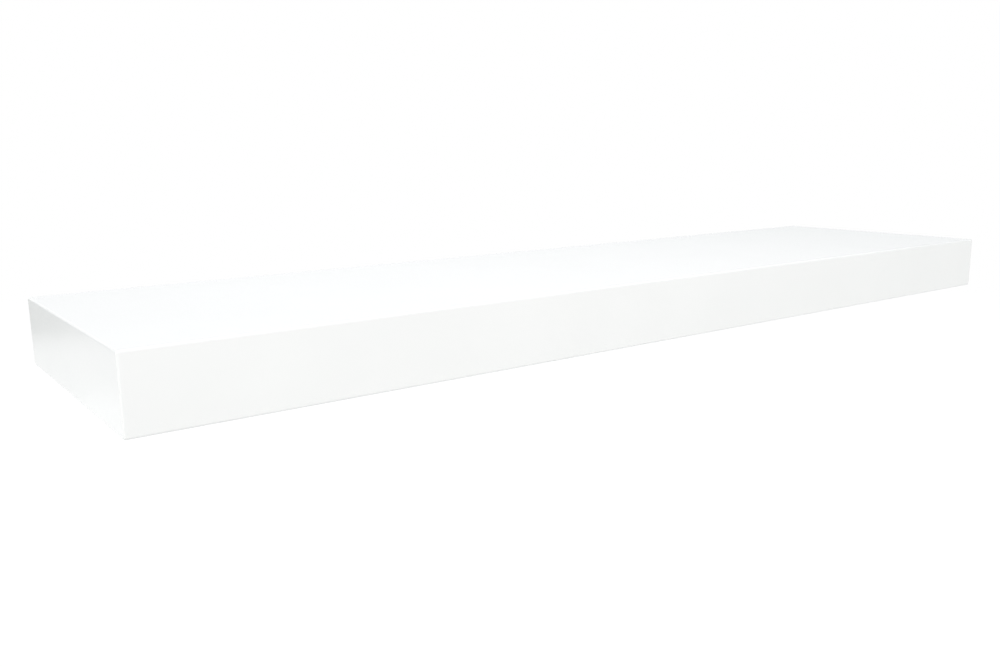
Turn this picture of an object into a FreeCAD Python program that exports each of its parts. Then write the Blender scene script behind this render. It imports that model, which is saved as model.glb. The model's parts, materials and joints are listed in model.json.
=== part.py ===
# Floating wall shelf on a concealed bracket.
#
# The shelf is board-on-frame: mitred fibreboard panels wrapped in white foil, glued round
# a frame of particleboard rails with paper honeycomb in the bays between them. The bracket is
# a flat steel bar that is screwed to the wall, with rods that slide into bores in the frame.
# A locking screw under each outer rod keeps the shelf from being pulled off.
#
# Frame: +X runs to the right along the shelf, -Y points out of the wall, +Z is up. The origin is
# on the wall face, midway along the shelf and midway through its thickness. Lengths are in mm.
import FreeCAD
import Part
import math
import os

Vector = FreeCAD.Vector
X_AXIS = Vector(1, 0, 0)
Y_AXIS = Vector(0, 1, 0)
Z_AXIS = Vector(0, 0, 1)

# Shelf envelope
SHELF_LENGTH = 914.0
SHELF_DEPTH = 235.0
SHELF_THICKNESS = 51.0

# Folded shell: panels with mitred edges, and the foil that wraps them
FOIL_THICKNESS = 0.4
PANEL_THICKNESS = 6.0
EDGE_RADIUS = 1.5

# Frame rails inside the shell; the back rail is set in from the wall to leave room for the bar
RECESS_DEPTH = 12.0
BACK_RAIL_WIDTH = 32.0
FRONT_RAIL_WIDTH = 24.0
END_RAIL_WIDTH = 24.0
ROD_RAIL_WIDTH = 48.0

# Paper honeycomb, stretched a little to fill each bay with whole rows and columns
CELL_SIZE = 36.0
CELL_WALL = 0.6

# Bracket rods, evenly spaced between the two outer ones
ROD_COUNT = 4
ROD_INSET = 152.2
ROD_DIAMETER = 12.0
ROD_REACH = 150.0
ROD_TIP_CHAMFER = 2.5
ROD_CLEARANCE = 0.3
BORE_END_CLEARANCE = 3.0
BORE_LEAD_IN = 1.5

# Rods pass through the bar and are welded in, with their ends just below its back face
WELD_SETBACK = 0.2
FIT_CLEARANCE = 0.05

# Bracket bar, with its wall-screw slots midway between rods and a hole near each end
BAR_THICKNESS = 4.0
BAR_CLEARANCE = 4.0
BAR_OVERHANG = 90.0
BAR_CORNER_RADIUS = 5.0
SLOT_LENGTH = 24.0
SLOT_WIDTH = 6.0
END_HOLE_OFFSET = 60.0
END_HOLE_DIAMETER = 6.0

# Locking screws: headless, hexagon socket, each in a threaded insert in the underside
SCREW_DIAMETER = 6.0
SCREW_LENGTH = 12.0
SCREW_POINT_DIAMETER = 3.5
SCREW_TIP_GAP = 0.3
SCREW_HOLE_CLEARANCE = 0.4
SOCKET_ACROSS_FLATS = 3.0
SOCKET_DEPTH = 4.0
INSERT_DIAMETER = 10.0
INSERT_LENGTH = 13.0
INSERT_SETBACK = 0.5
THREAD_CLEARANCE = 0.1

# Places worked out from the sizes above
WALL = FOIL_THICKNESS + PANEL_THICKNESS
CAVITY_X = SHELF_LENGTH / 2 - WALL
CAVITY_Z = SHELF_THICKNESS / 2 - WALL
BACK_RAIL_REAR = -RECESS_DEPTH
BACK_RAIL_FACE = BACK_RAIL_REAR - BACK_RAIL_WIDTH
FRONT_PANEL_REAR = -(SHELF_DEPTH - WALL)
FRONT_RAIL_FACE = FRONT_PANEL_REAR + FRONT_RAIL_WIDTH
END_RAIL_FACE = CAVITY_X - END_RAIL_WIDTH

OUTER_ROD_X = SHELF_LENGTH / 2 - ROD_INSET
ROD_PITCH = 2 * OUTER_ROD_X / (ROD_COUNT - 1)
ROD_X = [-OUTER_ROD_X + i * ROD_PITCH for i in range(ROD_COUNT)]
ROD_RADIUS = ROD_DIAMETER / 2
BORE_RADIUS = ROD_RADIUS + ROD_CLEARANCE

BAR_HALF_LENGTH = OUTER_ROD_X + BAR_OVERHANG
BAR_HALF_HEIGHT = CAVITY_Z - BAR_CLEARANCE
SLOT_X = OUTER_ROD_X - ROD_PITCH / 2
END_HOLE_X = OUTER_ROD_X + END_HOLE_OFFSET

UNDERSIDE = -SHELF_THICKNESS / 2
SCREW_Y = BACK_RAIL_REAR - BACK_RAIL_WIDTH / 2
SCREW_TIP_Z = -ROD_RADIUS - SCREW_TIP_GAP
INSERT_TOP_Z = UNDERSIDE + INSERT_SETBACK + INSERT_LENGTH
SIDES = {"left": -1, "right": 1}


def block(x_range, y_range, z_range):
    """A rectangular solid between two X, two Y and two Z places."""
    low = Vector(x_range[0], y_range[0], z_range[0])
    size = Vector(x_range[1], y_range[1], z_range[1]) - low
    return Part.makeBox(size.x, size.y, size.z, low)


def polygon(points):
    """A flat face with the points as its corners."""
    return Part.Face(Part.makePolygon(points + points[:1]))


def turned(profile, base, axis, radial):
    """A solid of revolution: profile lists (radius, distance along axis) from base, closed on itself."""
    points = [base + radial * radius + axis * along for radius, along in profile]
    return polygon(points).revolve(base, axis, 360)


def envelope_corner(x_side, at_front, z_side, inset):
    """A corner of the shelf's envelope, drawn in from every face but the open back."""
    y = -(SHELF_DEPTH - inset) if at_front else 0
    return Vector(x_side * (SHELF_LENGTH / 2 - inset), y, z_side * (SHELF_THICKNESS / 2 - inset))


def rounded_block(inset):
    """The envelope drawn in by inset, with every edge rounded but those on the wall face."""
    low = envelope_corner(-1, True, -1, inset)
    high = envelope_corner(1, False, 1, inset)
    solid = block((low.x, high.x), (low.y, high.y), (low.z, high.z))
    edges = [edge for edge in solid.Edges if edge.BoundBox.YMin < low.y / 2]
    return solid.makeFillet(EDGE_RADIUS - inset, edges)


def mitre_region(face):
    """What belongs to one face of the shell: from its outer outline, at 45 degrees, to the cavity."""
    corners = {
        "top": [(-1, True, 1), (1, True, 1), (1, False, 1), (-1, False, 1)],
        "bottom": [(-1, True, -1), (1, True, -1), (1, False, -1), (-1, False, -1)],
        "front": [(-1, True, -1), (1, True, -1), (1, True, 1), (-1, True, 1)],
        "left": [(-1, True, -1), (-1, False, -1), (-1, False, 1), (-1, True, 1)],
        "right": [(1, True, -1), (1, False, -1), (1, False, 1), (1, True, 1)],
    }[face]
    outer = [envelope_corner(*c, 0) for c in corners]
    inner = [envelope_corner(*c, WALL) for c in corners]
    quads = [outer, inner]
    for i in range(4):
        k = (i + 1) % 4
        quads.append([outer[i], outer[k], inner[k], inner[i]])
    solid = Part.Solid(Part.Shell([polygon(quad) for quad in quads]))
    if solid.Volume < 0:
        solid.reverse()
    return solid


def rod_bore(x):
    """The hole for one rod: a lead-in and a straight bore to just past the rod's tip."""
    end = ROD_REACH + BORE_END_CLEARANCE
    profile = [
        (0, RECESS_DEPTH),
        (BORE_RADIUS + BORE_LEAD_IN, RECESS_DEPTH),
        (BORE_RADIUS, RECESS_DEPTH + BORE_LEAD_IN),
        (BORE_RADIUS, end),
        (0, end),
    ]
    return turned(profile, Vector(x, 0, 0), -Y_AXIS, X_AXIS)


def insert_hole(x):
    """The stepped hole for one locking screw: insert seat, then a clear way up to the rod bore."""
    seat_radius = INSERT_DIAMETER / 2 + FIT_CLEARANCE
    way_radius = SCREW_DIAMETER / 2 + SCREW_HOLE_CLEARANCE
    profile = [
        (0, UNDERSIDE),
        (seat_radius, UNDERSIDE),
        (seat_radius, INSERT_TOP_Z),
        (way_radius, INSERT_TOP_Z),
        (way_radius, 0),
        (0, 0),
    ]
    return turned(profile, Vector(x, SCREW_Y, 0), Z_AXIS, X_AXIS)


def insert_holes():
    return [insert_hole(side * OUTER_ROD_X) for side in SIDES.values()]


def foil_pieces():
    """One sheet over the top, front and underside, and a piece on each end."""
    skin = rounded_block(0).cut(rounded_block(FOIL_THICKNESS))
    ends = {side: mitre_region(side) for side in SIDES}
    pieces = {"foil_wrap": skin.cut(list(ends.values()) + insert_holes())}
    for side, region in ends.items():
        pieces[f"{side}_end_foil"] = skin.common(region)
    return pieces


def panels():
    """The five boards of the shell, mitred to each other."""
    boards = rounded_block(FOIL_THICKNESS)
    names = {
        "top": "top_panel",
        "bottom": "bottom_panel",
        "front": "front_panel",
        "left": "left_end_panel",
        "right": "right_end_panel",
    }
    pieces = {name: boards.common(mitre_region(face)) for face, name in names.items()}
    pieces["bottom_panel"] = pieces["bottom_panel"].cut(insert_holes())
    return pieces


def rails():
    """The frame: long rails at back and front, one at each end, and one bored for each rod."""
    height = (-CAVITY_Z, CAVITY_Z)
    between = (FRONT_RAIL_FACE, BACK_RAIL_FACE)
    whole = (-CAVITY_X, CAVITY_X)
    bores = [rod_bore(x) for x in ROD_X]
    pieces = {
        "back_rail": block(whole, (BACK_RAIL_FACE, BACK_RAIL_REAR), height).cut(bores + insert_holes()),
        "front_rail": block(whole, (FRONT_PANEL_REAR, FRONT_RAIL_FACE), height),
        "left_end_rail": block((-CAVITY_X, -END_RAIL_FACE), between, height),
        "right_end_rail": block((END_RAIL_FACE, CAVITY_X), between, height),
    }
    for number, (x, bore) in enumerate(zip(ROD_X, bores), start=1):
        rail = block((x - ROD_RAIL_WIDTH / 2, x + ROD_RAIL_WIDTH / 2), between, height)
        pieces[f"rod_rail_{number}"] = rail.cut(bore)
    return pieces


def honeycomb(x_range):
    """Paper core for one bay: a net of six-sided cells, cut square where it meets the rails."""
    width = x_range[1] - x_range[0]
    depth = BACK_RAIL_FACE - FRONT_RAIL_FACE
    columns = max(1, round(width / CELL_SIZE))
    rows = max(1, round(depth / (CELL_SIZE * math.sqrt(3) / 2)))
    pitch_x = width / columns
    pitch_y = depth / rows

    # A cell's half width and half height inside its paper walls, and the corner between them
    half_width = (pitch_x - CELL_WALL) / 2
    tip = pitch_y * 2 / 3
    slope = tip / pitch_x
    tip_inside = tip - CELL_WALL / 2 * math.hypot(1, slope)
    shoulder = tip_inside - slope * half_width
    corners = [
        (half_width, -shoulder),
        (half_width, shoulder),
        (0, tip_inside),
        (-half_width, shoulder),
        (-half_width, -shoulder),
        (0, -tip_inside),
    ]
    cells = []
    for row in range(-1, rows + 1):
        shift = 0.5 if row % 2 == 0 else 0
        y = FRONT_RAIL_FACE + pitch_y * (row + 0.5)
        for column in range(columns + 1):
            x = x_range[0] + pitch_x * (column + shift)
            points = [Vector(x + cx, y + cy, -CAVITY_Z) for cx, cy in corners]
            cells.append(polygon(points))
    outline = [
        Vector(x_range[0], FRONT_RAIL_FACE, -CAVITY_Z),
        Vector(x_range[1], FRONT_RAIL_FACE, -CAVITY_Z),
        Vector(x_range[1], BACK_RAIL_FACE, -CAVITY_Z),
        Vector(x_range[0], BACK_RAIL_FACE, -CAVITY_Z),
    ]
    return polygon(outline).cut(cells).extrude(Z_AXIS * 2 * CAVITY_Z)


def honeycomb_cores():
    """One core between each pair of neighbouring rails, from left to right."""
    half_rail = ROD_RAIL_WIDTH / 2
    left_faces = [-END_RAIL_FACE] + [x + half_rail for x in ROD_X]
    right_faces = [x - half_rail for x in ROD_X] + [END_RAIL_FACE]
    bays = enumerate(zip(left_faces, right_faces), start=1)
    return {f"honeycomb_core_{number}": honeycomb(bay) for number, bay in bays}


def support_rod(x):
    """A straight rod from the back of the bar to its chamfered tip inside the shelf."""
    profile = [
        (0, WELD_SETBACK),
        (ROD_RADIUS, WELD_SETBACK),
        (ROD_RADIUS, ROD_REACH - ROD_TIP_CHAMFER),
        (ROD_RADIUS - ROD_TIP_CHAMFER, ROD_REACH),
        (0, ROD_REACH),
    ]
    return turned(profile, Vector(x, 0, 0), -Y_AXIS, X_AXIS)


def bar_hole(x, radius):
    """A round hole through the bar."""
    return Part.makeCylinder(radius, BAR_THICKNESS, Vector(x, 0, 0), -Y_AXIS)


def wall_slot(x):
    """A slot through the bar with round ends, along the bar."""
    radius = SLOT_WIDTH / 2
    straight = SLOT_LENGTH / 2 - radius
    ends = [bar_hole(x - straight, radius), bar_hole(x + straight, radius)]
    middle = block((x - straight, x + straight), (-BAR_THICKNESS, 0), (-radius, radius))
    return middle.fuse(ends).removeSplitter()


def mounting_bar():
    """The flat bar that is screwed to the wall."""
    bar = block(
        (-BAR_HALF_LENGTH, BAR_HALF_LENGTH),
        (-BAR_THICKNESS, 0),
        (-BAR_HALF_HEIGHT, BAR_HALF_HEIGHT),
    )
    corners = [edge for edge in bar.Edges if edge.BoundBox.YLength > BAR_THICKNESS / 2]
    bar = bar.makeFillet(BAR_CORNER_RADIUS, corners)
    holes = [bar_hole(x, ROD_RADIUS + FIT_CLEARANCE) for x in ROD_X]
    for side in SIDES.values():
        holes.append(wall_slot(side * SLOT_X))
        holes.append(bar_hole(side * END_HOLE_X, END_HOLE_DIAMETER / 2))
    return bar.cut(holes)


def bracket():
    """The bar and its rods."""
    pieces = {"mounting_bar": mounting_bar()}
    for number, x in enumerate(ROD_X, start=1):
        pieces[f"support_rod_{number}"] = support_rod(x)
    return pieces


def locking_screw(x):
    """A headless screw with a flat point under the rod and a hexagon socket at its lower end."""
    radius = SCREW_DIAMETER / 2
    point_radius = SCREW_POINT_DIAMETER / 2
    bottom = SCREW_TIP_Z - SCREW_LENGTH
    profile = [
        (0, bottom),
        (radius, bottom),
        (radius, SCREW_TIP_Z - (radius - point_radius)),
        (point_radius, SCREW_TIP_Z),
        (0, SCREW_TIP_Z),
    ]
    screw = turned(profile, Vector(x, SCREW_Y, 0), Z_AXIS, X_AXIS)
    reach = SOCKET_ACROSS_FLATS / math.sqrt(3)
    turns = [math.radians(60 * i) for i in range(6)]
    socket = [Vector(x + reach * math.cos(a), SCREW_Y + reach * math.sin(a), bottom) for a in turns]
    return screw.cut(polygon(socket).extrude(Z_AXIS * SOCKET_DEPTH))


def threaded_insert(x):
    """The bush that one locking screw turns in."""
    bottom = UNDERSIDE + INSERT_SETBACK
    outside = INSERT_DIAMETER / 2
    bore = SCREW_DIAMETER / 2 + THREAD_CLEARANCE
    profile = [(bore, bottom), (outside, bottom), (outside, INSERT_TOP_Z), (bore, INSERT_TOP_Z)]
    return turned(profile, Vector(x, SCREW_Y, 0), Z_AXIS, X_AXIS)


def locking_set():
    """The two locking screws and their inserts."""
    pieces = {}
    for side, sign in SIDES.items():
        pieces[f"{side}_threaded_insert"] = threaded_insert(sign * OUTER_ROD_X)
        pieces[f"{side}_locking_screw"] = locking_screw(sign * OUTER_ROD_X)
    return pieces


def main():
    os.makedirs("parts", exist_ok=True)
    groups = [foil_pieces(), panels(), rails(), honeycomb_cores(), bracket(), locking_set()]
    for pieces in groups:
        for name, shape in pieces.items():
            solids = shape.Solids
            if len(solids) != 1 or not solids[0].isValid():
                raise ValueError(f"{name} is {len(solids)} solids, or not a valid one")
            solids[0].exportStep(f"parts/{name}.step")
            print(f"{name}: {solids[0].Volume / 1000:.2f} cm3, {len(solids[0].Faces)} faces")


main()
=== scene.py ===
"""Looks of the floating wall shelf: satin white foil over a hollow box, on a plated steel bracket.

Everything is in metres in the part's own frame: +X along the shelf, -Y out of the wall, +Z up.
"""
import bmesh
import bpy
import json
import math
import random
from mathutils import Matrix, Vector


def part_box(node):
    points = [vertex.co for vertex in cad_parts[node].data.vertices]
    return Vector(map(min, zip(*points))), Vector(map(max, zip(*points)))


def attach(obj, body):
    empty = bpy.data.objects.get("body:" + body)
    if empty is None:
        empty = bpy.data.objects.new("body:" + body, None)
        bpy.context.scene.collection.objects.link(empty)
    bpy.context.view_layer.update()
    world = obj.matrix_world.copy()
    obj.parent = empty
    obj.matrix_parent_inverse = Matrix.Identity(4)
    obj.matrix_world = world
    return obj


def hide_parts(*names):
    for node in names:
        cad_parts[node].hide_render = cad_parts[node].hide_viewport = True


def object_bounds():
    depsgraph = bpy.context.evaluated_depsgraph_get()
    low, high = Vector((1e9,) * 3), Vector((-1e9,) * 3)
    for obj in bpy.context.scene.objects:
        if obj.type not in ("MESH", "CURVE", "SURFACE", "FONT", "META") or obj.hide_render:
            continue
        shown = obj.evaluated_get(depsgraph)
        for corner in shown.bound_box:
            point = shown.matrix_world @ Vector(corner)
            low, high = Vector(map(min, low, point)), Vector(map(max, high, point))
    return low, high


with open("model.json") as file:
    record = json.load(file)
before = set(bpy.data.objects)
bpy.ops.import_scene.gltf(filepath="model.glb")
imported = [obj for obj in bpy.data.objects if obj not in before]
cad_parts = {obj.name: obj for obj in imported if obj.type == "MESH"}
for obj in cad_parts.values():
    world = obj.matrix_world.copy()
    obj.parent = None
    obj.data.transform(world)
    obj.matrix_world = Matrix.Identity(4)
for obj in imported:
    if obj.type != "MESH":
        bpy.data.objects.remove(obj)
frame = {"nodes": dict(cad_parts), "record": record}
CAD_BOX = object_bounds()
MM = 0.001
SIDES = ("left", "right")


def nodes_with(word):
    """Names of the frame's nodes that hold a word, in order."""
    return sorted(name for name in frame["nodes"] if word in name)


# Names, places and sizes read from the frame
ROD_NAMES = nodes_with("support_rod")
SHELF_LOW, SHELF_HIGH = CAD_BOX
WALL_Y = SHELF_HIGH.y
FOIL_THICKNESS = SHELF_HIGH.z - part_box("top_panel")[1].z
BAR_LOW, BAR_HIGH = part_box("mounting_bar")
RAIL_LOW, RAIL_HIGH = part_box("back_rail")
MOUNT_SIZES = {mount["name"]: mount["dims"] for mount in frame["record"]["mounts"]}
SLOT_X = MOUNT_SIZES["stud_slots"]["spacing_x_mm"] / 2 * MM
SLOT_LENGTH = MOUNT_SIZES["stud_slots"]["slot_length_mm"] * MM
SLOT_RADIUS = MOUNT_SIZES["stud_slots"]["hole_r_mm"] * MM
END_HOLE_X = MOUNT_SIZES["end_holes"]["spacing_x_mm"] / 2 * MM
END_HOLE_RADIUS = MOUNT_SIZES["end_holes"]["hole_r_mm"] * MM

# Sizes that the frame doesn't give
EDGE_RADIUS = 1.5 * MM
SEAM_ROUND = 0.06 * MM
SEAM_LEAST_ANGLE = math.radians(50)
FIT_CLEARANCE = 0.05 * MM
BAR_CORNER_RADIUS = 5 * MM
BAR_EDGE_BREAK = 0.3 * MM
ROD_TIP_CHAMFER = 2.5 * MM
ROD_BLEND = 0.5 * MM
THREAD_PITCH = 1.0 * MM
THREAD_DEPTH = 0.5 * MM
THREAD_CLEARANCE = 0.1 * MM
SCREW_CHAMFER = 0.7 * MM
SCREW_POINT_RADIUS = 1.75 * MM
SOCKET_ACROSS_FLATS = 3 * MM
SOCKET_DEPTH = 4 * MM
SOCKET_LEAD = 0.25 * MM
SOCKET_FLOOR = 0.5 * MM
INSERT_CHAMFER = 0.5 * MM
INSERT_EDGE_BREAK = 0.2 * MM
KNURL_DEPTH = 0.2 * MM
KNURL_TEETH = 24
KNURL_END = 1.2 * MM
KNURL_GROOVE = 1.0 * MM

# A thread's sharp V, in depths of the thread: how far it rises, and what is cut off it at the root
THREAD_RISE = 1.4
THREAD_ROOT_CUT = 0.2

# Points, rings and segments that round forms are made of
EDGE_SEGMENTS = 8
SEAM_SEGMENTS = 2
BAR_EDGE_SEGMENTS = 2
CORNER_POINTS = 12
SLOT_END_POINTS = 24
SMALL_ROUND_POINTS = 48
ROUND_POINTS = 64
INSERT_POINTS = 4 * KNURL_TEETH
THREAD_RINGS_PER_TURN = 8

# Weld beads: ripples and slower waves run round each; a wave is its count and its share of the leg
WELD_LEG = 2.4 * MM
WELD_POINTS_AROUND = 160
WELD_POINTS_ACROSS = 8
WELD_RIPPLES = 26
WELD_RIPPLE_SHARE = 0.05
WELD_RIPPLE_LEAN = 1.6
WELD_WAVES = [(2, 0.07), (5, 0.05)]

# Glue lines: a wave is its radians to a metre and the share of the radius that it swells the bead by
GLUE_RADIUS = 0.9 * MM
GLUE_STEPS = 300
GLUE_POINTS_ACROSS = 5
GLUE_SWELL = 0.45
GLUE_LEAST_SWELL = 0.12
GLUE_HOLLOW = 0.35
GLUE_WAVES = [(31, 0.25), (83, 0.2), (211, 0.12), (487, 0.06)]

# Chips of the particleboard from the lowest layer up: size, length over width, turn in degrees, cover
CHIP_LAYERS = [
    (0.5 * MM, 1.5, 12, 0.9),
    (0.7 * MM, 2.4, 40, 0.5),
    (0.8 * MM, 2.6, -32, 0.4),
    (1.1 * MM, 3.0, 6, 0.25),
]
CHIP_FRAY = 0.8 * MM
CHIP_COVER_BLUR = 0.01

# Lines of the drawn steel, in features to a metre along and across them
DRAWN_ALONG = 18.0
DRAWN_ACROSS = 2600.0
WELD_GRAIN = 900.0

# Camera solved from the corners of the box in the photograph
CAMERA_AT = Vector((-585.8, -756.5, 133.2)) * MM
CAMERA_YAW = math.radians(36.63)
CAMERA_PITCH = math.radians(-11.41)
CAMERA_ROLL = math.radians(-0.49)
CAMERA_LENS = 33.78
CAMERA_SENSOR = 36.0
CAMERA_NEAR = 0.01
CAMERA_FAR = 100.0

# White sweep behind the shelf: its direction, the angles between which it fades, and the paler rest
SWEEP = Vector((0.586, 0.787, -0.19)).normalized()
SWEEP_INNER = math.radians(36)
SWEEP_OUTER = math.radians(100)
BACKDROP_PALE = 0.74

# Floor: it fades out from a distance to its rim, and shows a share of its shading over an even glow
FLOOR_Z = -1.5
FLOOR_POINTS = 128
FLOOR_RADIUS = 11.0
FLOOR_FADE = 4.5
FLOOR_COLOR = (0.88, 0.86, 0.85)
FLOOR_SHADING = 0.3
FLOOR_GLOW = 0.89
FLOOR_GLOW_PALE = 0.55

# Fill light from the horizon and below, and from above a height on the unit sphere
FILL_COLOR = (1.014, 1.009, 0.983)
FILL_ABOVE_COLOR = (0.386, 0.452, 0.474)
FILL_ABOVE = 0.8

# Grey card that the left end mirrors
FLAG_AT = Vector((-1.5, 4.77, -0.4))
FLAG_SIZE = (2.7, 1.0)
FLAG_COLOR = (0.6, 0.6, 0.595)

# Lamps: place, side in metres, power in watts and colour; all of them face one point
LIGHT_AIM = Vector((-0.15, -0.12, 0.0))
KEY_AT = Vector((-5.0, -12.0, 4.5))
KEY_SIZE = 13.0
KEY_POWER = 562
KEY_IMAGE_POWER = 300
KEY_COLOR = (1.0, 0.958, 0.935)
SIDE_AT = Vector((-12.0, -1.6, 3.0))
SIDE_SIZE = 10.4
SIDE_POWER = 332
SIDE_COLOR = (1.0, 0.982, 0.99)
TOP_AT = Vector((-0.22, -0.3, 0.75))
TOP_SIZE = 1.0
TOP_POWER = 3.9
TOP_COLOR = (1.0, 0.933, 0.938)
CARD_AT = Vector((-1.18, 2.5, -0.95))
CARD_SIZE = 0.5
CARD_POWER = 0.21
CARD_COLOR = (1.0, 1.0, 1.0)


# Shader helpers

def add(tree, kind, inputs=None, **settings):
    """Adds a shader node; an input that is a socket is linked, any other is a value."""
    node = tree.nodes.new(kind)
    for name, value in settings.items():
        setattr(node, name, value)
    for name, value in (inputs or {}).items():
        if isinstance(value, bpy.types.NodeSocket):
            tree.links.new(value, node.inputs[name])
        else:
            node.inputs[name].default_value = value
    return node


def bare_material(name):
    """A material with an empty node tree, and that tree."""
    material = bpy.data.materials.new(name)
    material.use_nodes = True
    material.node_tree.nodes.clear()
    return material, material.node_tree


def new_material(name, **values):
    """A material with one principled shader; returns it with its tree, shader and metre coordinates."""
    material, tree = bare_material(name)
    shader = add(tree, "ShaderNodeBsdfPrincipled", values)
    add(tree, "ShaderNodeOutputMaterial", {"Surface": shader.outputs["BSDF"]})
    coords = add(tree, "ShaderNodeTexCoord").outputs["Object"]
    return material, tree, shader, coords


def stretched(tree, coords, scale):
    """Coordinates scaled differently along X, Y and Z."""
    return add(tree, "ShaderNodeMapping", {"Vector": coords, "Scale": scale}).outputs["Vector"]


def laid(tree, coords, length, turn):
    """Coordinates that draw a pattern out along X, turned in the plane of X and Z."""
    inputs = {"Vector": coords, "Scale": (length, 1, 1), "Rotation": (0, math.radians(turn), 0)}
    return add(tree, "ShaderNodeMapping", inputs, vector_type="TEXTURE").outputs["Vector"]


def noise(tree, coords, scale, detail=2.0, roughness=0.5, output="Fac"):
    """Soft noise with about scale features to a metre."""
    inputs = {"Vector": coords, "Scale": scale, "Detail": detail, "Roughness": roughness}
    return add(tree, "ShaderNodeTexNoise", inputs).outputs[output]


def ramp(tree, factor, stops):
    """A colour ramp through (position, colour) stops."""
    node = add(tree, "ShaderNodeValToRGB", {"Fac": factor})
    elements = node.color_ramp.elements
    for position, _ in stops[2:]:
        elements.new(position)
    for element, (position, color) in zip(elements, stops):
        element.position = position
        element.color = (*color, 1)
    return node.outputs["Color"]


def spread(tree, factor, low, high, from_low=0.0, from_high=1.0):
    """Maps a range of a factor, 0 to 1 unless given, to a range of values."""
    inputs = {"Value": factor, "From Min": from_low, "From Max": from_high, "To Min": low, "To Max": high}
    return add(tree, "ShaderNodeMapRange", inputs).outputs["Result"]


def worked_out(tree, operation, *values):
    """The result of a math node."""
    return add(tree, "ShaderNodeMath", dict(enumerate(values)), operation=operation).outputs["Value"]


def vector_math(tree, operation, *values, output="Vector"):
    """The result of a vector math node."""
    return add(tree, "ShaderNodeVectorMath", dict(enumerate(values)), operation=operation).outputs[output]


def mixed(tree, share, first, second):
    """One value turned into another by a share from 0 to 1."""
    return add(tree, "ShaderNodeMix", {"Factor": share, "A": first, "B": second}).outputs["Result"]


def mixed_shader(tree, share, first, second):
    """One shader turned into another by a share from 0 to 1."""
    return add(tree, "ShaderNodeMixShader", {0: share, 1: first, 2: second}).outputs["Shader"]


def diffuse(tree, color):
    """A plain matt shader."""
    return add(tree, "ShaderNodeBsdfDiffuse", {"Color": (*color, 1)}).outputs["BSDF"]


def background(tree, color, level=1.0):
    """A world shader of a colour and a level, both of which may vary with direction."""
    return add(tree, "ShaderNodeBackground", {"Color": color, "Strength": level}).outputs["Background"]


def link(tree, value, shader, socket):
    """Drives one input of a shader."""
    tree.links.new(value, shader.inputs[socket])


def bump(tree, shader, height, distance):
    """Raises the surface by height times distance, in metres."""
    normal = add(tree, "ShaderNodeBump", {"Height": height, "Distance": distance, "Strength": 1.0})
    link(tree, normal.outputs["Normal"], shader, "Normal")


# Materials

def foil_material():
    """Satin white foil: a slow drift in tone, and a fine pressed grain that varies the gloss."""
    material, tree, shader, coords = new_material("white_foil", IOR=1.5)
    drift = noise(tree, coords, scale=14.0)
    grain = noise(tree, coords, scale=1500.0, detail=3.0, roughness=0.6)
    stops = [(0.3, (0.893, 0.895, 0.893)), (0.7, (0.907, 0.909, 0.907))]
    link(tree, ramp(tree, drift, stops), shader, "Base Color")
    gloss = spread(tree, grain, low=0.16, high=0.22, from_low=0.3, from_high=0.7)
    link(tree, gloss, shader, "Roughness")
    bump(tree, shader, grain, distance=0.004 * MM)
    return material


def fibreboard_material():
    """Raw fibreboard: fine felted fibres in an even brown."""
    material, tree, shader, coords = new_material("fibreboard", Roughness=0.9)
    felt = noise(tree, stretched(tree, coords, (0.6, 0.6, 1.0)), scale=2600.0, detail=4.0, roughness=0.7)
    flecks = noise(tree, stretched(tree, coords, (0.5, 0.5, 1.0)), scale=900.0)
    tone = mixed(tree, 0.35, felt, flecks)
    stops = [(0.36, (0.23, 0.145, 0.08)), (0.5, (0.39, 0.265, 0.155)), (0.64, (0.52, 0.375, 0.235))]
    link(tree, ramp(tree, tone, stops), shader, "Base Color")
    bump(tree, shader, felt, distance=0.08 * MM)
    return material


def chip_layer(tree, coords, below, size, length, turn, cover):
    """Lays chips of many tones over what is below; cover is the share of it that they hide."""
    along = laid(tree, coords, length, turn)
    cells = add(tree, "ShaderNodeTexVoronoi", {"Vector": along, "Scale": 1 / size})
    draw = add(tree, "ShaderNodeSeparateColor", {"Color": cells.outputs["Color"]})
    limits = {"from_low": cover - CHIP_COVER_BLUR, "from_high": cover + CHIP_COVER_BLUR}
    there = spread(tree, draw.outputs["Green"], low=1.0, high=0.0, **limits)
    return mixed(tree, there, below, draw.outputs["Red"])


def particleboard_material():
    """Raw particleboard: pale chips lying every way over fine dust, with small gaps between them darkened
    by painted shade.
    """
    material, tree, shader, coords = new_material("particleboard", Roughness=0.85)
    fray = noise(tree, coords, scale=1300.0, detail=3.0, output="Color")
    fray = vector_math(tree, "ADD", fray, (-0.5, -0.5, -0.5))
    frayed = vector_math(tree, "MULTIPLY_ADD", fray, (CHIP_FRAY,) * 3, coords)
    tone = noise(tree, coords, scale=2400.0, detail=3.0, roughness=0.7)
    for layer in CHIP_LAYERS:
        tone = chip_layer(tree, frayed, tone, *layer)
    grain = noise(tree, laid(tree, coords, length=6.0, turn=0), scale=3000.0)
    tone = mixed(tree, 0.3, tone, grain)
    # The gaps between chips are real pits, but their darkness is painted shade in the colour
    pores = noise(tree, coords, scale=620.0, detail=4.0, roughness=0.65)
    painted_gap_shade = spread(tree, pores, low=1.0, high=0.12, from_low=0.63, from_high=0.68)
    tone = worked_out(tree, "MULTIPLY", tone, painted_gap_shade)
    stops = [
        (0.05, (0.15, 0.088, 0.044)),
        (0.25, (0.38, 0.255, 0.14)),
        (0.5, (0.52, 0.37, 0.215)),
        (0.8, (0.63, 0.48, 0.305)),
    ]
    link(tree, ramp(tree, tone, stops), shader, "Base Color")
    bump(tree, shader, tone, distance=0.1 * MM)
    return material


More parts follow.
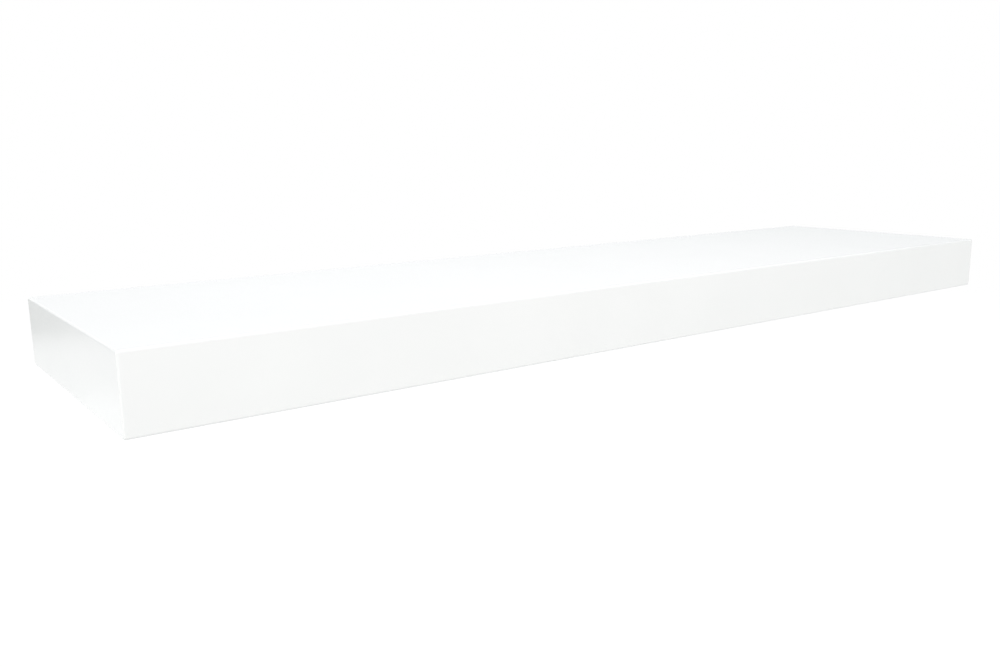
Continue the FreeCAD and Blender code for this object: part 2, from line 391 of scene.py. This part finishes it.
def paper_material():
    """Kraft paper: long fibres in a brown sheet."""
    material, tree, shader, coords = new_material("kraft_paper", Roughness=0.8)
    fibres = noise(tree, stretched(tree, coords, (1.0, 1.0, 0.2)), scale=700.0, detail=4.0)
    stops = [(0.3, (0.30, 0.19, 0.10)), (0.7, (0.50, 0.35, 0.21))]
    link(tree, ramp(tree, fibres, stops), shader, "Base Color")
    bump(tree, shader, fibres, distance=0.05 * MM)
    return material


def zinc_material(name, lines):
    """Zinc over drawn steel, with a faint blue and straw tint; lines are features to a metre in X, Y, Z."""
    material, tree, shader, coords = new_material(name, Metallic=1.0)
    drawn = noise(tree, stretched(tree, coords, lines), scale=1.0, detail=3.0, roughness=0.6)
    cloud = noise(tree, coords, scale=45.0, detail=3.0)
    stops = [(0.3, (0.33, 0.34, 0.355)), (0.5, (0.36, 0.365, 0.37)), (0.72, (0.38, 0.375, 0.36))]
    link(tree, ramp(tree, cloud, stops), shader, "Base Color")
    rough = worked_out(tree, "MULTIPLY_ADD", drawn, 0.25, spread(tree, cloud, low=0.14, high=0.26))
    link(tree, rough, shader, "Roughness")
    bump(tree, shader, drawn, distance=0.012 * MM)
    return material


def brass_material():
    """Turned brass with fine rings and a little tarnish."""
    material, tree, shader, coords = new_material("turned_brass", Metallic=1.0)
    rings = noise(tree, stretched(tree, coords, (60.0, 60.0, 9000.0)), scale=1.0)
    tarnish = noise(tree, coords, scale=420.0, detail=3.0)
    stops = [(0.35, (0.48, 0.31, 0.12)), (0.65, (0.78, 0.56, 0.25))]
    link(tree, ramp(tree, tarnish, stops), shader, "Base Color")
    link(tree, spread(tree, rings, low=0.22, high=0.42), shader, "Roughness")
    bump(tree, shader, rings, distance=0.01 * MM)
    return material


def black_oxide_material():
    """Oiled black oxide on a hardened screw."""
    material, tree, shader, coords = new_material("black_oxide", Metallic=1.0)
    cloud = noise(tree, coords, scale=1400.0, detail=3.0)
    stops = [(0.3, (0.035, 0.035, 0.04)), (0.7, (0.09, 0.09, 0.095))]
    link(tree, ramp(tree, cloud, stops), shader, "Base Color")
    link(tree, spread(tree, cloud, low=0.3, high=0.5), shader, "Roughness")
    return material


def glue_material():
    """Dried wood glue: pale, waxy and slightly clear."""
    material, tree, shader, coords = new_material("dried_glue", Roughness=0.35)
    cloud = noise(tree, coords, scale=160.0)
    stops = [(0.3, (0.58, 0.47, 0.28)), (0.7, (0.74, 0.64, 0.44))]
    link(tree, ramp(tree, cloud, stops), shader, "Base Color")
    shader.inputs["Subsurface Weight"].default_value = 0.3
    shader.inputs["Subsurface Scale"].default_value = 1.0 * MM
    bump(tree, shader, cloud, distance=0.1 * MM)
    return material


# Mesh helpers

def linked_object(name, data):
    """Puts data in the scene as an object."""
    obj = bpy.data.objects.new(name, data)
    bpy.context.scene.collection.objects.link(obj)
    return obj


def piece(name, mesh, material, body, replaced=()):
    """Puts a finished mesh in the scene, on its body, with its finish and what it stands for."""
    obj = linked_object(name, mesh)
    mesh.materials.clear()
    mesh.materials.append(material)
    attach(obj, body)
    if replaced:
        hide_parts(*replaced)
    return obj


def mesh_of(form, name):
    """Turns a bmesh into a mesh, and frees it."""
    mesh = bpy.data.meshes.new(name)
    form.to_mesh(mesh)
    form.free()
    return mesh


def finished_mesh(obj):
    """The mesh that an object's modifiers or curve settings make; the object itself is dropped."""
    bpy.context.view_layer.update()
    graph = bpy.context.evaluated_depsgraph_get()
    mesh = bpy.data.meshes.new_from_object(obj.evaluated_get(graph))
    mesh.transform(obj.matrix_world)
    bpy.data.objects.remove(obj)
    return mesh


def ringed_mesh(name, rings, matrix, closed=False):
    """A mesh through rings of points; a one-point ring is a pole, and closed joins last to first."""
    form = bmesh.new()
    rows = [[form.verts.new(matrix @ Vector(point)) for point in ring] for ring in rings]
    pairs = list(zip(rows, rows[1:]))
    if closed:
        pairs.append((rows[-1], rows[0]))
    for low, high in pairs:
        count = max(len(low), len(high))
        for i in range(count):
            k = (i + 1) % count
            if len(low) == 1:
                corners = [low[0], high[k], high[i]]
            elif len(high) == 1:
                corners = [low[i], low[k], high[0]]
            else:
                corners = [low[i], low[k], high[k], high[i]]
            form.faces.new(corners)
    bmesh.ops.recalc_face_normals(form, faces=form.faces[:])
    return mesh_of(form, name)


def shade_by_angle(mesh, degrees):
    """Smooth shading with sharp edges above an angle."""
    mesh.shade_smooth()
    mesh.set_sharp_from_angle(angle=math.radians(degrees))


def circle(radius, along, count):
    """A ring of points round Z at one height; radius is a number or a function of the angle."""
    angles = [2 * math.pi * i / count for i in range(count)]
    size = radius if callable(radius) else lambda angle: radius
    return [(size(a) * math.cos(a), size(a) * math.sin(a), along) for a in angles]


def arc(centre, radius, start, stop, count):
    """Points on an arc in a plane, ends included; angles in degrees."""
    angles = [math.radians(start + (stop - start) * i / (count - 1)) for i in range(count)]
    return [(centre[0] + radius * math.cos(a), centre[1] + radius * math.sin(a)) for a in angles]


def whole_circle(centre, radius, count):
    """Points all the way round in a plane."""
    return arc(centre, radius, 0, 360, count + 1)[:-1]


def mean_point(points):
    """The mean of some points."""
    return sum(map(Vector, points), Vector()) / len(points)


# Pieces of the shelf

def rounded_shell():
    """The outside of the foil as one open box with rounded edges, the open side on the wall."""
    form = bmesh.new()
    bmesh.ops.create_cube(form, size=1)
    size = SHELF_HIGH - SHELF_LOW
    middle = (SHELF_HIGH + SHELF_LOW) / 2
    for vert in form.verts:
        vert.co = middle + Vector(a * b for a, b in zip(vert.co, size))
    back = [f for f in form.faces if all(abs(v.co.y - WALL_Y) < EDGE_RADIUS for v in f.verts)]
    bmesh.ops.delete(form, geom=back, context="FACES_ONLY")
    edges = [e for e in form.edges if min(v.co.y for v in e.verts) < middle.y]
    bmesh.ops.bevel(form, geom=edges, offset=EDGE_RADIUS, offset_type="OFFSET", segments=EDGE_SEGMENTS,
                    profile=0.5, affect="EDGES", clamp_overlap=False)
    bmesh.ops.recalc_face_normals(form, faces=form.faces[:])
    return form


def foil_owner(face):
    """Which piece of foil a face of the shell belongs to: seams follow the middle of the rounded edges."""
    if abs(face.normal.x) > max(abs(face.normal.y), abs(face.normal.z)):
        return "left" if face.normal.x < 0 else "right"
    return "wrap"


def insert_cutters():
    """Cylinders that open the underside below the two inserts."""
    cutters = []
    for side in SIDES:
        low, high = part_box(f"{side}_threaded_insert")
        radius = (high.x - low.x) / 2 + FIT_CLEARANCE
        centre = (low + high) / 2
        form = bmesh.new()
        place = Matrix.Translation((centre.x, centre.y, SHELF_LOW.z))
        bmesh.ops.create_cone(form, cap_ends=True, segments=ROUND_POINTS, radius1=radius, radius2=radius,
                              depth=2 * EDGE_RADIUS, matrix=place)
        name = f"{side}_cutter"
        cutters.append(linked_object(name, mesh_of(form, name)))
    return cutters


def foil_piece(name, owner, material):
    """One sheet of foil at its real thickness, its cut edges very slightly rounded."""
    form = rounded_shell()
    form.normal_update()
    others = [f for f in form.faces if foil_owner(f) != owner]
    bmesh.ops.delete(form, geom=others, context="FACES")
    mesh = mesh_of(form, name)
    mesh.shade_smooth()
    sheet = linked_object(name + "_sheet", mesh)
    solid = sheet.modifiers.new("thickness", "SOLIDIFY")
    solid.thickness = FOIL_THICKNESS
    solid.offset = -1
    solid.use_even_offset = True
    cutters = insert_cutters() if owner == "wrap" else []
    for cutter in cutters:
        cut = sheet.modifiers.new("hole", "BOOLEAN")
        cut.operation = "DIFFERENCE"
        cut.object = cutter
    edge = sheet.modifiers.new("cut_edges", "BEVEL")
    edge.width = SEAM_ROUND
    edge.segments = SEAM_SEGMENTS
    edge.limit_method = "ANGLE"
    edge.angle_limit = SEAM_LEAST_ANGLE
    weigh = sheet.modifiers.new("flat_faces_stay_flat", "WEIGHTED_NORMAL")
    weigh.mode = "FACE_AREA"
    weigh.weight = 100
    done = finished_mesh(sheet)
    for cutter in cutters:
        bpy.data.objects.remove(cutter)
    node = "foil_wrap" if owner == "wrap" else f"{owner}_end_foil"
    return piece(name, done, material, "shelf", [node])


def glue_line(name, z, into, seed, material):
    """Glue squeezed out where the back rail meets a board: a thin bead that swells and thins."""
    draw = random.Random(seed)
    phases = [draw.uniform(0, 2 * math.pi) for _ in GLUE_WAVES]
    length = RAIL_HIGH.x - RAIL_LOW.x
    rings = []
    for i in range(GLUE_STEPS + 1):
        x = RAIL_LOW.x + length * i / GLUE_STEPS
        waves = [share * math.sin(rate * x + phase) for (rate, share), phase in zip(GLUE_WAVES, phases)]
        size = GLUE_RADIUS * max(GLUE_SWELL + sum(waves), GLUE_LEAST_SWELL)
        ring = [(x, RAIL_HIGH.y, z)]
        for k in range(GLUE_POINTS_ACROSS + 1):
            lift = math.pi / 2 * k / GLUE_POINTS_ACROSS
            bulge = size * (1 - GLUE_HOLLOW * math.sin(2 * lift))
            ring.append((x, RAIL_HIGH.y + bulge * math.cos(lift), z + into * bulge * math.sin(lift)))
        rings.append(ring)
    first = [mean_point(rings[0])]
    last = [mean_point(rings[-1])]
    mesh = ringed_mesh(name, [first, *rings, last], Matrix.Identity(4))
    shade_by_angle(mesh, degrees=50)
    return piece(name, mesh, material, "shelf")


def thread_radius(crest, root, along):
    """Radius of a thread at one height, as a function of the angle; crest and root are flattened."""
    def size(angle):
        turn = (along / THREAD_PITCH - angle / (2 * math.pi)) % 1.0
        height = THREAD_RISE * abs(2 * turn - 1) - THREAD_ROOT_CUT
        return root + (crest - root) * min(max(height, 0.0), 1.0)
    return size


def thread_rings(crest, root, low, high, count):
    """Rings up a thread, evenly spaced."""
    steps = max(2, round((high - low) / THREAD_PITCH * THREAD_RINGS_PER_TURN))
    heights = [low + (high - low) * i / steps for i in range(steps + 1)]
    return [circle(thread_radius(crest, root, h), h, count) for h in heights]


def socket_radius(angle):
    """Radius of the hexagon socket's wall, with a corner on +X."""
    return SOCKET_ACROSS_FLATS / 2 / math.cos(angle % (math.pi / 3) - math.pi / 6)


def socket_mouth(angle):
    """Radius of the socket's mouth, where its edge is broken."""
    return socket_radius(angle) + SOCKET_LEAD


def locking_screw(side, material):
    """A headless socket screw with a cut thread, chamfered ends and a drilled socket floor."""
    name = f"{side}_locking_screw"
    low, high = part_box(name)
    crest = (high.x - low.x) / 2
    root = crest - THREAD_DEPTH
    count = SMALL_ROUND_POINTS
    point_height = crest - SCREW_POINT_RADIUS
    rings = [[(0, 0, low.z + SOCKET_DEPTH)]]
    rings.append(circle(socket_radius, low.z + SOCKET_DEPTH - SOCKET_FLOOR, count))
    rings.append(circle(socket_radius, low.z + SOCKET_LEAD, count))
    rings.append(circle(socket_mouth, low.z, count))
    rings.append(circle(crest - SCREW_CHAMFER, low.z, count))
    rings += thread_rings(crest, root, low.z + SCREW_CHAMFER, high.z - point_height, count)
    rings.append(circle(SCREW_POINT_RADIUS, high.z, count))
    rings.append([(0, 0, high.z)])
    centre = (low + high) / 2
    mesh = ringed_mesh(name + "_threaded", rings, Matrix.Translation((centre.x, centre.y, 0)))
    shade_by_angle(mesh, degrees=30)
    return piece(name + "_threaded", mesh, material, name, [name])


def knurl_radius(outside):
    """Radius of a straight knurl as a function of the angle."""
    def size(angle):
        tooth = (angle * KNURL_TEETH / (2 * math.pi)) % 1.0
        return outside - KNURL_DEPTH * abs(2 * tooth - 1)
    return size


def threaded_insert(side, material):
    """A brass bush with a cut inner thread, a lead-in at its mouth and two knurled bands outside."""
    name = f"{side}_threaded_insert"
    low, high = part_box(name)
    outside = (high.x - low.x) / 2
    screw_low, screw_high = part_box(f"{side}_locking_screw")
    crest = (screw_high.x - screw_low.x) / 2 + THREAD_CLEARANCE
    root = crest - THREAD_DEPTH
    count = INSERT_POINTS
    middle = (low.z + high.z) / 2
    knurl = knurl_radius(outside)
    neck = outside - 2 * KNURL_DEPTH
    rings = thread_rings(crest, root, low.z + INSERT_CHAMFER, high.z - INSERT_CHAMFER, count)
    rings.append(circle(crest, high.z, count))
    rings.append(circle(neck - INSERT_CHAMFER, high.z, count))
    rings.append(circle(neck, high.z - INSERT_CHAMFER, count))
    upper_band = (middle + KNURL_GROOVE / 2, high.z - KNURL_END)
    lower_band = (low.z + KNURL_END, middle - KNURL_GROOVE / 2)
    for bottom, top in (upper_band, lower_band):
        rings.append(circle(neck, top + KNURL_DEPTH, count))
        rings.append(circle(knurl, top, count))
        rings.append(circle(knurl, bottom, count))
        rings.append(circle(neck, bottom - KNURL_DEPTH, count))
    rings.append(circle(outside, low.z + KNURL_END - 2 * KNURL_DEPTH, count))
    rings.append(circle(outside, low.z + INSERT_EDGE_BREAK, count))
    rings.append(circle(outside - INSERT_EDGE_BREAK, low.z, count))
    rings.append(circle(crest + INSERT_CHAMFER, low.z, count))
    centre = (low + high) / 2
    mesh = ringed_mesh(name + "_turned", rings, Matrix.Translation((centre.x, centre.y, 0)), closed=True)
    shade_by_angle(mesh, degrees=30)
    return piece(name + "_turned", mesh, material, "shelf", [name])


def dress_nodes(names, material):
    """Gives CAD nodes that keep their shape a better finish."""
    for name in names:
        data = frame["nodes"][name].data
        data.materials.clear()
        data.materials.append(material)


def build_shelf():
    """Foil, boards, rails, paper core, glue, inserts and locking screws."""
    foil = foil_material()
    foil_piece("foil_wrap_sheet", "wrap", foil)
    for side in SIDES:
        foil_piece(f"{side}_end_foil_sheet", side, foil)
    dress_nodes(nodes_with("_panel"), fibreboard_material())
    dress_nodes(nodes_with("_rail"), particleboard_material())
    dress_nodes(nodes_with("honeycomb_core"), paper_material())
    glue = glue_material()
    glue_line("upper_glue_line", z=RAIL_HIGH.z, into=-1, seed=11, material=glue)
    glue_line("lower_glue_line", z=RAIL_LOW.z, into=1, seed=23, material=glue)
    brass = brass_material()
    oxide = black_oxide_material()
    for side in SIDES:
        threaded_insert(side, brass)
        locking_screw(side, oxide)


# Pieces of the bracket

def rod_place(name):
    """A rod's axis, radius and ends: x, z, radius, back end and tip."""
    low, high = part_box(name)
    return (low.x + high.x) / 2, (low.z + high.z) / 2, (high.x - low.x) / 2, high.y, low.y


def bar_outlines():
    """The bar's outline and holes, as loops of points in X and Z."""
    half_x = BAR_HIGH.x - BAR_CORNER_RADIUS
    half_z = BAR_HIGH.z - BAR_CORNER_RADIUS
    outer = []
    for quarter, (sign_x, sign_z) in enumerate([(1, 1), (-1, 1), (-1, -1), (1, -1)]):
        centre = (sign_x * half_x, sign_z * half_z)
        outer += arc(centre, BAR_CORNER_RADIUS, 90 * quarter, 90 * quarter + 90, CORNER_POINTS)
    loops = [outer]
    for name in ROD_NAMES:
        x, z, radius, _, _ = rod_place(name)
        loops.append(whole_circle((x, z), radius + FIT_CLEARANCE, ROUND_POINTS))
    straight = SLOT_LENGTH / 2 - SLOT_RADIUS
    for sign in (-1, 1):
        x = sign * SLOT_X
        right_end = arc((x + straight, 0), SLOT_RADIUS, -90, 90, SLOT_END_POINTS)
        left_end = arc((x - straight, 0), SLOT_RADIUS, 90, 270, SLOT_END_POINTS)
        loops.append(right_end + left_end)
        loops.append(whole_circle((sign * END_HOLE_X, 0), END_HOLE_RADIUS, SMALL_ROUND_POINTS))
    return loops


def mounting_bar(material):
    """The flat bar, with its edges and holes deburred."""
    curve = bpy.data.curves.new("bar_outline", "CURVE")
    curve.dimensions = "2D"
    curve.fill_mode = "BOTH"
    thickness = BAR_HIGH.y - BAR_LOW.y
    curve.extrude = thickness / 2 - BAR_EDGE_BREAK
    curve.bevel_depth = BAR_EDGE_BREAK
    curve.bevel_resolution = BAR_EDGE_SEGMENTS
    curve.offset = -BAR_EDGE_BREAK
    for loop in bar_outlines():
        spline = curve.splines.new("POLY")
        spline.points.add(len(loop) - 1)
        for point, (x, z) in zip(spline.points, loop):
            point.co = (x, z, 0, 1)
        spline.use_cyclic_u = True
    bar = linked_object("bar_curve", curve)
    upright = Matrix.Rotation(math.pi / 2, 4, "X")
    bar.matrix_world = Matrix.Translation((0, (BAR_HIGH.y + BAR_LOW.y) / 2, 0)) @ upright
    mesh = finished_mesh(bar)
    shade_by_angle(mesh, degrees=40)
    return piece("mounting_bar_plate", mesh, material, "wall_bracket", ["mounting_bar"])


def support_rod(name, material):
    """A turned rod: its tip chamfer is blended at both ends, and its back end is dressed flat."""
    x, z, radius, back, tip = rod_place(name)
    length = back - tip
    shoulder = length - ROD_TIP_CHAMFER
    tip_radius = radius - ROD_TIP_CHAMFER
    near = 0.3 * ROD_BLEND
    far = 0.4 * ROD_BLEND
    profile = [
        (0, 0),
        (radius - ROD_BLEND, 0),
        (radius, ROD_BLEND),
        (radius, shoulder - ROD_BLEND),
        (radius - near, shoulder + far),
        (tip_radius + far, length - near),
        (tip_radius - ROD_BLEND, length),
        (0, length),
    ]
    rings = [[(0, 0, along)] if size == 0 else circle(size, along, ROUND_POINTS) for size, along in profile]
    place = Matrix.Translation((x, back, z)) @ Matrix.Rotation(math.pi / 2, 4, "X")
    mesh = ringed_mesh(name + "_turned", rings, place)
    shade_by_angle(mesh, degrees=35)
    return piece(name + "_turned", mesh, material, "wall_bracket", [name])


def weld_bead(name, seed, material):
    """A convex fillet weld round the foot of a rod, with the ripples of a hand-laid bead."""
    x, z, radius, _, _ = rod_place(name)
    draw = random.Random(seed)
    phases = [draw.uniform(0, 2 * math.pi) for _ in WELD_WAVES]
    ripple_phase = draw.uniform(0, 2 * math.pi)
    rings = []
    for i in range(WELD_POINTS_AROUND):
        turn = 2 * math.pi * i / WELD_POINTS_AROUND
        waves = [share * math.sin(n * turn + phase) for (n, share), phase in zip(WELD_WAVES, phases)]
        ring = [(radius * math.cos(turn), radius * math.sin(turn), 0)]
        for k in range(WELD_POINTS_ACROSS + 1):
            lift = math.pi / 2 * k / WELD_POINTS_ACROSS
            crown = math.sin(2 * lift)
            crest = math.sin(WELD_RIPPLES * turn + ripple_phase + WELD_RIPPLE_LEAN * crown)
            leg = WELD_LEG * (1 + sum(waves) + WELD_RIPPLE_SHARE * crown * crest)
            reach = radius + leg * math.cos(lift)
            ring.append((reach * math.cos(turn), reach * math.sin(turn), leg * math.sin(lift)))
        rings.append(ring)
    place = Matrix.Translation((x, BAR_LOW.y, z)) @ Matrix.Rotation(math.pi / 2, 4, "X")
    mesh = ringed_mesh(name + "_weld", rings, place, closed=True)
    shade_by_angle(mesh, degrees=60)
    return piece(name + "_weld", mesh, material, "wall_bracket")


def build_bracket():
    """Bar, rods and the welds between them."""
    mounting_bar(zinc_material("zinc_bar", (DRAWN_ALONG, DRAWN_ACROSS, DRAWN_ACROSS)))
    rods = zinc_material("zinc_rod", (DRAWN_ACROSS, DRAWN_ALONG, DRAWN_ACROSS))
    welds = zinc_material("zinc_weld", (WELD_GRAIN, WELD_GRAIN, WELD_GRAIN))
    for seed, name in enumerate(ROD_NAMES):
        support_rod(name, rods)
        weld_bead(name, seed, welds)


# Stage, lamps and camera

def seen_directly(tree):
    """1 for a ray from the camera, or one that a gloss or a clear surface sends on; 0 for light."""
    path = add(tree, "ShaderNodeLightPath").outputs
    seen = path["Is Camera Ray"]
    for kind in ("Is Glossy Ray", "Is Transmission Ray"):
        seen = worked_out(tree, "MAXIMUM", seen, path[kind])
    return seen


def sweep_level(tree, direction, inside, outside):
    """One value for directions near the sweep and another away from it, blended between its two angles."""
    inputs = {
        "Value": vector_math(tree, "DOT_PRODUCT", direction, SWEEP, output="Value"),
        "From Min": math.cos(SWEEP_OUTER),
        "From Max": math.cos(SWEEP_INNER),
        "To Min": outside,
        "To Max": inside,
    }
    return add(tree, "ShaderNodeMapRange", inputs, interpolation_type="SMOOTHSTEP").outputs["Result"]


def floor_material():
    """An even level, white behind the shelf, with a share of its shading and of the object's shadow."""
    material, tree = bare_material("pale_floor")
    plain = diffuse(tree, FLOOR_COLOR)
    shaded = diffuse(tree, [c * FLOOR_SHADING for c in FLOOR_COLOR])
    position = add(tree, "ShaderNodeNewGeometry").outputs["Position"]
    direction = vector_math(tree, "NORMALIZE", position)
    level = sweep_level(tree, direction, inside=FLOOR_GLOW, outside=FLOOR_GLOW_PALE)
    glow = add(tree, "ShaderNodeEmission", {"Strength": level})
    lifted = add(tree, "ShaderNodeAddShader", {0: shaded, 1: glow.outputs["Emission"]})
    both = mixed_shader(tree, seen_directly(tree), plain, lifted.outputs["Shader"])
    distance = vector_math(tree, "LENGTH", position, output="Value")
    gone = spread(tree, distance, low=0.0, high=1.0, from_low=FLOOR_FADE, from_high=FLOOR_RADIUS)
    clear = add(tree, "ShaderNodeBsdfTransparent")
    faded = mixed_shader(tree, gone, both, clear.outputs["BSDF"])
    add(tree, "ShaderNodeOutputMaterial", {"Surface": faded})
    return material


def stage_floor():
    """A pale round floor, fading out at its rim."""
    form = bmesh.new()
    bmesh.ops.create_circle(form, cap_ends=True, segments=FLOOR_POINTS, radius=FLOOR_RADIUS)
    mesh = mesh_of(form, "floor")
    mesh.materials.append(floor_material())
    floor = linked_object("floor", mesh)
    floor.location.z = FLOOR_Z


def stage_world():
    """Soft fill light; what is seen of the studio is a white sweep behind the shelf, pale elsewhere."""
    world = bpy.data.worlds.new("studio")
    bpy.context.scene.world = world
    world.use_nodes = True
    world.cycles.sampling_method = "NONE"
    tree = world.node_tree
    tree.nodes.clear()
    direction = add(tree, "ShaderNodeTexCoord").outputs["Generated"]
    level = sweep_level(tree, direction, inside=1.0, outside=BACKDROP_PALE)
    backdrop = background(tree, (1, 1, 1, 1), level)
    height = add(tree, "ShaderNodeSeparateXYZ", {"Vector": direction}).outputs["Z"]
    sky = ramp(tree, height, [(0.0, FILL_COLOR), (FILL_ABOVE, FILL_ABOVE_COLOR)])
    fill = background(tree, sky)
    choice = mixed_shader(tree, seen_directly(tree), fill, backdrop)
    add(tree, "ShaderNodeOutputWorld", {"Surface": choice})


def stage_flag():
    """A grey card out of the picture, upright and facing the shelf, that the left end mirrors."""
    form = bmesh.new()
    bmesh.ops.create_grid(form, x_segments=1, y_segments=1, size=0.5)
    bmesh.ops.scale(form, vec=(*FLAG_SIZE, 1), verts=form.verts[:])
    mesh = mesh_of(form, "flag")
    material, tree = bare_material("grey_card")
    add(tree, "ShaderNodeOutputMaterial", {"Surface": diffuse(tree, FLAG_COLOR)})
    mesh.materials.append(material)
    flag = linked_object("flag", mesh)
    flag.location = FLAG_AT
    flag.rotation_euler = (math.pi / 2, 0, math.atan2(-FLAG_AT.x, FLAG_AT.y))
    flag.visible_camera = False


def softbox(name, at, size, power, color):
    """A square lamp that the camera doesn't see."""
    light = bpy.data.lights.new(name, "AREA")
    light.shape = "SQUARE"
    light.size = size
    light.energy = power
    light.color = color
    lamp = linked_object(name, light)
    lamp.location = at
    lamp.rotation_mode = "QUATERNION"
    lamp.rotation_quaternion = (LIGHT_AIM - at).to_track_quat("-Z", "Y")
    lamp.visible_camera = False
    return lamp


def stage_lights():
    """Large soft lamps; the key's mirrored image is dimmer than its light, so that satin keeps its tone."""
    key = softbox("key_light", KEY_AT, KEY_SIZE, KEY_POWER, KEY_COLOR)
    key.visible_glossy = False
    image = softbox("key_image", KEY_AT, KEY_SIZE, KEY_IMAGE_POWER, KEY_COLOR)
    image.visible_diffuse = False
    side = softbox("side_light", SIDE_AT, SIDE_SIZE, SIDE_POWER, SIDE_COLOR)
    side.visible_glossy = False
    softbox("top_light", TOP_AT, TOP_SIZE, TOP_POWER, TOP_COLOR)
    card = softbox("mirrored_card", CARD_AT, CARD_SIZE, CARD_POWER, CARD_COLOR)
    card.visible_diffuse = False


def stage_camera():
    """The photograph's viewpoint: yaw is turned from +Y towards +X."""
    forward = Vector((
        math.sin(CAMERA_YAW) * math.cos(CAMERA_PITCH),
        math.cos(CAMERA_YAW) * math.cos(CAMERA_PITCH),
        math.sin(CAMERA_PITCH),
    ))
    right = Vector((math.cos(CAMERA_YAW), -math.sin(CAMERA_YAW), 0))
    up = right.cross(forward)
    rolled_right = right * math.cos(CAMERA_ROLL) + up * math.sin(CAMERA_ROLL)
    rolled_up = up * math.cos(CAMERA_ROLL) - right * math.sin(CAMERA_ROLL)
    data = bpy.data.cameras.new("camera")
    data.lens = CAMERA_LENS
    data.sensor_width = CAMERA_SENSOR
    data.clip_start = CAMERA_NEAR
    data.clip_end = CAMERA_FAR
    camera = linked_object("camera", data)
    turn = Matrix((rolled_right, rolled_up, -forward)).transposed().to_4x4()
    camera.matrix_world = Matrix.Translation(CAMERA_AT) @ turn
    bpy.context.scene.camera = camera


build_shelf()
build_bracket()
stage_floor()
stage_world()
stage_flag()
stage_lights()
stage_camera()
bpy.context.scene.view_settings.view_transform = "Standard"
